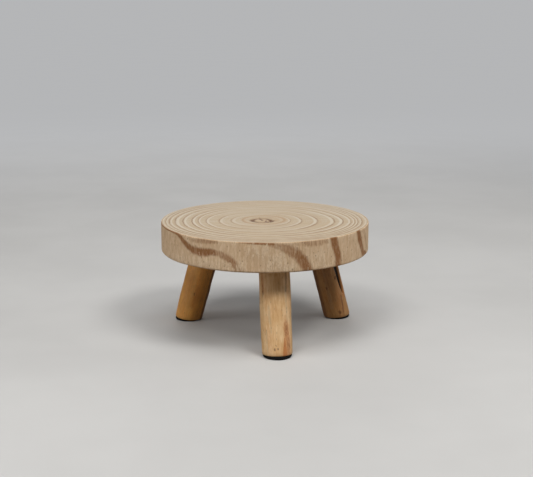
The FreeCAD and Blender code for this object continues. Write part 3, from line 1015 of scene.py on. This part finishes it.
def bore_cutters():
    """One round cutter for each dowel's hole in the slab."""
    cutters = []
    for side in LEGS:
        place = leg_place(side)
        distance, along = reach_round_axis("dowel_" + side, place)
        body = bmesh.new()
        low, high = -20 * MM, along.max() + BORE_ROOM * MM
        radius = distance.max() + GLUE_GAP * MM
        move = place @ Matrix.Translation((0, 0, (low + high) / 2))
        bmesh.ops.create_cone(
            body, cap_ends=True, segments=64, radius1=radius, radius2=radius, depth=high - low, matrix=move
        )
        mesh = bpy.data.meshes.new("bore_" + side)
        body.to_mesh(mesh)
        body.free()
        cutters.append(new_object("bore_" + side, mesh))
    return cutters


def bore_holes(piece, cutters):
    """Cuts the dowel holes into a piece and removes the cutters."""
    for cutter in cutters:
        cut = piece.modifiers.new(cutter.name, "BOOLEAN")
        cut.object = cutter
        cut.operation = "DIFFERENCE"
        cut.solver = "EXACT"
    bpy.context.view_layer.update()
    done = bpy.data.meshes.new_from_object(piece.evaluated_get(bpy.context.evaluated_depsgraph_get()))
    piece.modifiers.clear()
    done.name = piece.data.name
    piece.data = done
    for cutter in cutters:
        bpy.data.meshes.remove(cutter.data)


class CAKESTAND_OT_saw_slab(bpy.types.Operator):
    """Saw, sand and drill the round slice of trunk"""

    bl_idname = "cakestand.saw_slab"
    bl_label = "Saw Slab"

    def execute(self, context):
        slab = context.scene.cake_stand.slab
        piece = add_piece("sawn_slab", slab_mesh(slab), Matrix.Identity(4), "top_slab")
        bore_holes(piece, bore_cutters())
        return {"FINISHED"}


# ---------------------------------------------------------------- the legs


def branch_finish(name, wood, pale, dark, seed, gloss, streak):
    """A peeled branch: long streaks, fine grain, knots, orange resin, grey weathering and cracks."""
    material, s, surface = new_finish(name)
    place = s.place()
    fibre = s.fibres(place, 2.2, 30.0, seed)
    grain = s.fibres(place, 0.9, 6.0, seed + 5)
    drift = s.drift(place, 17.0, seed + 2)
    flecks = s.flecks(place, 1.1, 4.5, 0.14)

    def mark(name, fray):
        """One of the marks painted on the leg."""
        return s.frayed(name, (grain["Fine"],), fray, 0.1, 0.95)

    patches = s.fibres(place, 6.5, 24.0, seed + 8)
    tone = s.tint(wood, patches["Streaks"], streak, pale)
    tone = s.tint(tone, drift, 0.5, dark)
    tone = s.tint(tone, s.ease(patches["Fine"], 0.35, 1.0), 0.5, pale)
    tone = s.tint(tone, fibre["Streaks"], 0.35, pale)
    tone = s.tint(tone, s.ease(fibre["Fine"], 0.45, 1.0), 0.3, dark)
    tone = s.tint(tone, grain["Streaks"], 0.22, dark)
    tone = s.tint(tone, grain["Fine"], 0.2, pale)
    resin, weathered, fleck_brown = (0.44, 0.125, 0.018), (0.34, 0.29, 0.22), (0.12, 0.06, 0.028)
    knot_and_shade_brown, edge_dark, crack_shade = (0.19, 0.08, 0.028), (0.13, 0.075, 0.04), (0.016, 0.009, 0.006)
    orange = s.blend(0.85, wood, resin)
    tone = s.tint(tone, mark("resin_orange", 0.5), 0.85, orange)
    tone = s.tint(tone, mark("weather_grey", 0.4), 0.6, weathered)
    tone = s.tint(tone, flecks, 0.45, fleck_brown)
    # Knots and brown marks, and painted shade down the inner sides of the right and left legs.
    tone = s.tint(tone, mark("knot_brown_and_shade", 0.35), 0.85, knot_and_shade_brown)
    # Painted shade at both ends of the leg.
    tone = s.tint(tone, s.mask("painted_end_shade"), 0.5, edge_dark)
    # Painted shade: near black inside the drying crack.
    tone = s.blend(s.ease(s.mask("check"), 0.3, 0.8), tone, crack_shade)
    s.feed(surface.inputs["Base Color"], tone)

    s.feed(surface.inputs["Roughness"], s.ease(grain["Height"], 0.2, 0.8, gloss, gloss + 0.2))
    height = s.math("MULTIPLY_ADD", flecks, -0.35, grain["Height"])
    broad = s.bump(fibre["Height"], 0.3, 0.6)
    s.feed(surface.inputs["Normal"], s.bump(height, 0.13, 0.6, under=broad))
    return material


def branch_row(side, legs, angle, part, straight, top, foot, inset, seed):
    """A row round a branch's wall: its reach and height, the marks painted on it and its bend, in mm.

    Part is 0 at the top and 1 at the foot, straight is the plain radius there, top and foot are the
    heights of the two ends, and inset rounds an end's edge.
    """
    height = top + (foot - top) * part
    spots = [(straight * math.cos(a), straight * math.sin(a), h / 2.4) for a, h in zip(angle, height)]
    lumps = wander(spots, 9.0, seed) + 0.35 * wander(spots, 4.0, seed + 1)
    ridges = wander([(x, y, z / 5) for x, y, z in spots], 0.9, seed + 2)
    degrees = np.degrees(angle)
    painted = {}
    for name, strokes in LEG_MARKS[side].items():
        painted[name] = brush_round(degrees, -height, straight, strokes)
    # Painted shade: darker in the last few mm where the leg meets the slab's underside, and half as much at
    # the foot.
    near_top, near_foot = ease(3.5, 0.0, top - height), ease(4.0, 0.0, height - foot)
    painted["painted_end_shade"] = np.clip(0.9 * near_top + 0.45 * near_foot, 0.0, 1.0)

    away_from_ends = math.sin(math.pi * part) ** 0.5
    swell = legs.right_swell if side == "right" else legs.swell
    reach = straight + swell / MM * away_from_ends - inset
    reach = reach + legs.unevenness / MM * (lumps - 0.25) * (0.35 + 0.65 * away_from_ends)
    reach = reach + legs.ridge_depth / MM * ridges
    reach = reach + 0.25 * painted["knot_brown_and_shade"] * wander(spots, 1.6, seed + 4)
    reach = reach - legs.check_depth / MM * painted["check"] ** 1.5
    return reach, height, painted, legs.bow / MM * math.sin(math.pi * part)


def leg_mesh(side, place, legs, finish, seed):
    """One branch leg in its own frame: drilled top, peeled wall with cracks, foot sawn at a slant."""
    distance, along = reach_round_axis("leg_" + side, place)
    half = (along.max() + along.min()) / 2
    top_radius, foot_radius = distance[along > half].max() / MM, distance[along < half].max() / MM
    dowel_distance, dowel_along = reach_round_axis("dowel_" + side, place)
    bore_radius = dowel_distance.max() / MM + GLUE_GAP
    bore_end = dowel_along.min() / MM - BORE_ROOM
    cut_point, cut_normal = foot_cut(side, place)
    top_normal = place.to_3x3().inverted() @ Vector((0, 0, 1))
    angle = angles_round(legs.points_round)
    foot_length = -cut_point.z / MM

    def top_at(reach):
        return height_on_plane(reach * np.cos(angle), reach * np.sin(angle), Vector(), top_normal)

    def foot_at(reach):
        x, y = reach * np.cos(angle) * MM, reach * np.sin(angle) * MM
        return height_on_plane(x, y, cut_point, cut_normal) / MM

    rows, masks = [], []

    def add_row(reach, height, painted=None, bend=0.0):
        if np.ndim(reach) == 0 and reach == 0.0:
            rows.append(np.array([[0.0, 0.0, float(np.mean(height))]]) * MM)
            count = 1
        else:
            rows.append(np.stack([reach * np.cos(angle) + bend, reach * np.sin(angle), height], axis=1) * MM)
            count = len(angle)
        painted = painted or {}
        masks.append({name: painted.get(name, np.zeros(count)) for name in (*LEG_MARKS[side], "painted_end_shade")})

    def wall_row(part, inset=0.0):
        straight = top_radius + (foot_radius - top_radius) * part
        top, foot = top_at(straight), foot_at(straight)
        add_row(*branch_row(side, legs, angle, part, straight, top, foot, inset, seed))

    add_row(0.0, bore_end)
    add_row(bore_radius, np.full_like(angle, bore_end))
    for part in (0.66, 0.33):
        add_row(bore_radius, top_at(bore_radius) * (1 - part) + bore_end * part)
    for reach in (bore_radius, 7.0, 9.0, 11.0, top_radius - 1.2):
        add_row(reach, top_at(reach))
    wall_row(0.0, 0.35)
    first, last = 0.006, 0.994
    for i in range(legs.rows):
        wall_row(first + (last - first) * i / (legs.rows - 1))
    wall_row(0.998, 0.2)
    wall_row(1.0, 0.55)
    for reach in (foot_radius - 2.0, 8.0, 4.0):
        add_row(reach, foot_at(reach))
    add_row(0.0, -foot_length)

    mesh = mesh_from_rows("leg_" + side + "_wood", rows, (finish,), lambda i: 0)
    paint_rows(mesh, masks)
    return mesh


class CAKESTAND_OT_peel_legs(bpy.types.Operator):
    """Peel, drill and saw the three branch legs"""

    bl_idname = "cakestand.peel_legs"
    bl_label = "Peel Legs"

    def execute(self, context):
        legs = context.scene.cake_stand.legs
        finishes = {
            "front": branch_finish(
                "pale_branch", legs.front_wood, (0.86, 0.64, 0.37), (0.53, 0.25, 0.08), 3.0, 0.5, 0.7
            ),
            "left": branch_finish(
                "golden_branch", legs.left_wood, (0.76, 0.42, 0.12), (0.42, 0.165, 0.035), 11.0, 0.36, 0.45
            ),
            "right": branch_finish(
                "brown_branch", legs.right_wood, (0.52, 0.30, 0.12), (0.20, 0.085, 0.03), 17.0, 0.42, 0.5
            ),
        }
        for number, side in enumerate(LEGS):
            place = leg_place(side)
            mesh = leg_mesh(side, place, legs, finishes[side], 31 + 7 * number)
            add_piece("branch_leg_" + side, mesh, place, "leg_" + side)
        return {"FINISHED"}


# ---------------------------------------------------------------- the foot pads


def rubber_finish(pads):
    """Black rubber: fine moulded grain, scuffed paler where it rubs, with a little dust near the floor."""
    material, s, surface = new_finish("black_rubber")
    place = s.place()
    scuff = s.drift(place, 2.5, 1.0)
    grain = s.noise(s.stretched(place, 0.35, 0.35, 0.35), detail=2.0)
    dust = s.math("MULTIPLY", s.mask("floor_dust"), s.ease(grain, 0.4, 0.7))
    scuffed, dusty = (0.011, 0.0105, 0.010), (0.05, 0.045, 0.038)
    tone = s.tint(pads.rubber, scuff, 0.35, scuffed)
    tone = s.tint(tone, dust, 0.3, dusty)
    s.feed(surface.inputs["Base Color"], tone)
    s.feed(surface.inputs["Roughness"], s.ease(scuff, 0.0, 1.0, 0.62, 0.85))
    surface.inputs["Specular IOR Level"].default_value = 0.15
    s.feed(surface.inputs["Normal"], s.bump(grain, 0.06, 0.6))
    return material


def pad_mesh(side, place, pads, finish):
    """A wedge of rubber between the slanted foot and the floor, with rounded edges and a slight bulge."""
    inset, edge, heel = 0.05, 0.22, 1.3  # mm inside the CAD pad, and the top and bottom edges' radii
    distance, _ = reach_round_axis("foot_pad_" + side, place)
    inner = distance.max() / MM
    radius = inner - inset
    cut_point, cut_normal = foot_cut(side, place)
    back = place.inverted()
    floor_point, floor_normal = back @ MOUNTS["foot_" + side], back.to_3x3() @ Vector((0, 0, 1))
    angle = angles_round(pads.points_round)

    def heights(reach):
        x, y = reach * np.cos(angle) * MM, reach * np.sin(angle) * MM
        floor = height_on_plane(x, y, floor_point, floor_normal) / MM
        foot = height_on_plane(x, y, cut_point, cut_normal) / MM
        return floor, foot

    rows, dust = [], []

    def add_row(reach, part, lift=0.0):
        floor, foot = heights(reach)
        height = floor + (foot - floor) * part + lift
        rows.append(np.stack([reach * np.cos(angle), reach * np.sin(angle), height], axis=1) * MM)
        dust.append(np.full(len(angle), max(0.0, 1.0 - 1.6 * part)))

    def add_centre(part):
        floor, foot = heights(1e-6)
        rows.append(np.array([[0.0, 0.0, float(np.mean(floor + (foot - floor) * part))]]) * MM)
        dust.append(np.zeros(1))

    add_centre(0.0)
    for reach in (0.35 * inner, 0.7 * inner, radius - heel):
        add_row(reach, 0.0)
    for a in np.radians((15, 30, 45, 60, 75, 90)):
        add_row(radius - heel + heel * math.sin(a), 0.42 * (1 - math.cos(a)))
    for part in (0.5, 0.6, 0.75):
        add_row(radius + pads.bulge / MM * math.sin(math.pi * part), part)
    for a in np.radians((90, 60, 30)):
        add_row(radius - edge + edge * math.sin(a), 1.0, -edge * 0.5 * (1 - math.cos(a)))
    for reach in (radius - edge, 0.7 * inner, 0.35 * inner):
        add_row(reach, 1.0)
    add_centre(1.0)
    mesh = mesh_from_rows("foot_pad_" + side + "_rubber", rows, (finish,), lambda i: 0)
    paint(mesh, "floor_dust", np.concatenate(dust))
    mesh.transform(place)
    return mesh


class CAKESTAND_OT_cut_pads(bpy.types.Operator):
    """Cut the rubber pads and stick them under the feet"""

    bl_idname = "cakestand.cut_pads"
    bl_label = "Cut Pads"

    def execute(self, context):
        pads = context.scene.cake_stand.pads
        finish = rubber_finish(pads)
        for side in LEGS:
            place = leg_place(side)
            mesh = pad_mesh(side, place, pads, finish)
            add_piece("rubber_pad_" + side, mesh, Matrix.Identity(4), "foot_pad_" + side)
        return {"FINISHED"}


# ---------------------------------------------------------------- the dowels


class CAKESTAND_OT_finish_dowels(bpy.types.Operator):
    """Give the hidden fluted dowels their beech finish"""

    bl_idname = "cakestand.finish_dowels"
    bl_label = "Finish Dowels"

    def execute(self, context):
        material, s, surface = new_finish("turned_dowel")
        place = s.place()
        fibre = s.fibres(place, 0.8, 12.0, 9.0)
        flecks = s.flecks(place, 0.5, 2.0, 0.4)
        beech, beech_shade, fleck_brown = (0.62, 0.46, 0.29), (0.54, 0.38, 0.22), (0.36, 0.22, 0.12)
        tone = s.blend(fibre["Streaks"], beech, beech_shade)
        tone = s.tint(tone, flecks, 0.5, fleck_brown)
        s.feed(surface.inputs["Base Color"], tone)
        s.feed(surface.inputs["Roughness"], s.ease(fibre["Height"], 0.2, 0.8, 0.5, 0.7))
        s.feed(surface.inputs["Normal"], s.bump(fibre["Height"], 0.1, 0.5))
        for side in LEGS:
            mesh = frame["nodes"]["dowel_" + side].data
            mesh.materials.clear()
            mesh.materials.append(material)
        return {"FINISHED"}


# ---------------------------------------------------------------- the stage


def floor_finish(stage):
    """A plain pale floor. Lamplight shows near the stand and fades into the backdrop's tone further off."""
    material, s, surface = new_finish("pale_floor")
    place = s.place()
    drift = s.drift(place, 160.0, 7.0)
    darker = tuple(0.95 * channel for channel in stage.floor)
    seen = s.blend(drift, stage.floor, darker)
    black = (0.0, 0.0, 0.0)
    reach = s.node("VectorMath", {"operation": "LENGTH"}, {0: place}).outputs["Value"]
    far = s.ease(reach, 0.45, 1.7)
    straight = s.node("LightPath").outputs["Is Camera Ray"]
    s.feed(surface.inputs["Base Color"], s.blend(straight, stage.floor_bounce, s.blend(far, seen, black)))
    glow = s.blend(s.math("MULTIPLY", far, straight), black, stage.far_floor)
    s.feed(surface.inputs["Emission Color"], glow)
    surface.inputs["Emission Strength"].default_value = 1.0
    s.feed(surface.inputs["Roughness"], s.ease(drift, 0.0, 1.0, 0.75, 0.85))
    surface.inputs["Specular IOR Level"].default_value = 0.2
    return material


def add_floor(stage):
    """A wide disc under the stand that reaches past the horizon."""
    body = bmesh.new()
    bmesh.ops.create_circle(body, cap_ends=True, segments=96, radius=120.0)
    mesh = bpy.data.meshes.new("floor")
    body.to_mesh(mesh)
    body.free()
    mesh.materials.append(floor_finish(stage))
    floor = new_object("floor", mesh)


def room_light(stage):
    """Dim light from all round, with a plain backdrop of its own brightness behind the stand."""
    world = bpy.data.worlds.new("room")
    world.use_nodes = True
    s = Shader(world.node_tree)
    straight = s.node("LightPath").outputs["Is Camera Ray"]
    background = world.node_tree.nodes["Background"]
    background.inputs["Color"].default_value = (0.97, 0.98, 1.0, 1.0)
    s.feed(background.inputs["Strength"], s.ease(straight, 0.0, 1.0, stage.room, stage.backdrop))
    return world


def direction(turn_from_front, elevation):
    """The unit vector towards a place that many radians round to the right of the front, and that high."""
    flat = math.cos(elevation)
    return Vector((math.sin(turn_from_front) * flat, -math.cos(turn_from_front) * flat, math.sin(elevation)))


def add_lamp(name, turn_degrees, elevation_degrees, distance, width, height, watts, tint):
    """A rectangular softbox that faces the stand."""
    lamp = bpy.data.lights.new(name, "AREA")
    lamp.shape = "RECTANGLE"
    lamp.size, lamp.size_y = width, height
    lamp.energy = watts
    lamp.color = tint
    holder = new_object(name, lamp)
    towards = direction(math.radians(turn_degrees), math.radians(elevation_degrees))
    holder.location = (cad_low + cad_high) / 2 + towards * distance
    holder.rotation_euler = (-towards).to_track_quat("-Z", "Y").to_euler()


def add_camera(stage):
    """The camera, aimed at a point near the slab."""
    lens = bpy.data.cameras.new("camera")
    lens.lens = stage.lens
    lens.sensor_width = 36.0
    lens.clip_start, lens.clip_end = 0.05, 200.0
    holder = new_object("camera", lens)
    towards = direction(-stage.camera_turn, stage.camera_height)
    holder.location = Vector(stage.aim) + towards * stage.camera_distance
    holder.rotation_euler = (math.pi / 2 - stage.camera_height, 0.0, -stage.camera_turn)
    bpy.context.scene.camera = holder


class CAKESTAND_OT_set_stage(bpy.types.Operator):
    """Set the pale floor, the studio lamps and the camera"""

    bl_idname = "cakestand.set_stage"
    bl_label = "Set Stage"

    def execute(self, context):
        stage = context.scene.cake_stand.stage
        add_floor(stage)
        warm, neutral = (1.0, 0.985, 0.96), (1.0, 1.0, 1.0)
        add_lamp("key_softbox_left", -35, 52, 2.0, 0.7, 0.45, stage.key_left, warm)
        add_lamp("key_softbox_right", 35, 52, 2.0, 0.7, 0.45, stage.key_right, warm)
        add_lamp("overhead_softbox", 0, 74, 1.8, 1.2, 0.7, stage.overhead, neutral)
        add_lamp("left_strip", -77, 17, 1.6, 0.5, 0.9, stage.left_fill, neutral)
        add_lamp("right_strip", 86, 18, 1.6, 0.5, 0.9, stage.right_fill, neutral)
        add_lamp("back_softbox", 180, 22, 2.0, 1.6, 0.6, stage.back_fill, neutral)
        context.scene.world = room_light(stage)
        context.scene.view_settings.view_transform = "Standard"
        add_camera(stage)
        return {"FINISHED"}


# ---------------------------------------------------------------- panel and registration


class CAKESTAND_PT_workshop(bpy.types.Panel):
    """Lists the steps that build the stand, with the settings of each"""

    bl_idname = "CAKESTAND_PT_workshop"
    bl_label = "Cake Stand"
    bl_space_type = "VIEW_3D"
    bl_region_type = "UI"
    bl_category = "Cake Stand"

    def draw(self, context):
        stand = context.scene.cake_stand
        steps = (
            ("cakestand.saw_slab", stand.slab),
            ("cakestand.peel_legs", stand.legs),
            ("cakestand.cut_pads", stand.pads),
            ("cakestand.finish_dowels", None),
            ("cakestand.set_stage", stand.stage),
        )
        for step, settings in steps:
            box = self.layout.box()
            box.operator(step)
            for name in getattr(settings, "__annotations__", {}):
                box.prop(settings, name)


CLASSES = (
    SlabSettings,
    LegSettings,
    PadSettings,
    StageSettings,
    StandSettings,
    CAKESTAND_OT_saw_slab,
    CAKESTAND_OT_peel_legs,
    CAKESTAND_OT_cut_pads,
    CAKESTAND_OT_finish_dowels,
    CAKESTAND_OT_set_stage,
    CAKESTAND_PT_workshop,
)


def register():
    for item in CLASSES:
        bpy.utils.register_class(item)
    bpy.types.Scene.cake_stand = PointerProperty(
        name="Cake Stand", description="Settings of the cake stand", type=StandSettings
    )


def unregister():
    del bpy.types.Scene.cake_stand
    for item in reversed(CLASSES):
        bpy.utils.unregister_class(item)


def main():
    """Builds the stand and its stage."""
    register()
    bpy.ops.cakestand.saw_slab()
    bpy.ops.cakestand.peel_legs()
    bpy.ops.cakestand.cut_pads()
    bpy.ops.cakestand.finish_dowels()
    bpy.ops.cakestand.set_stage()


if __name__ == "__main__":
    main()
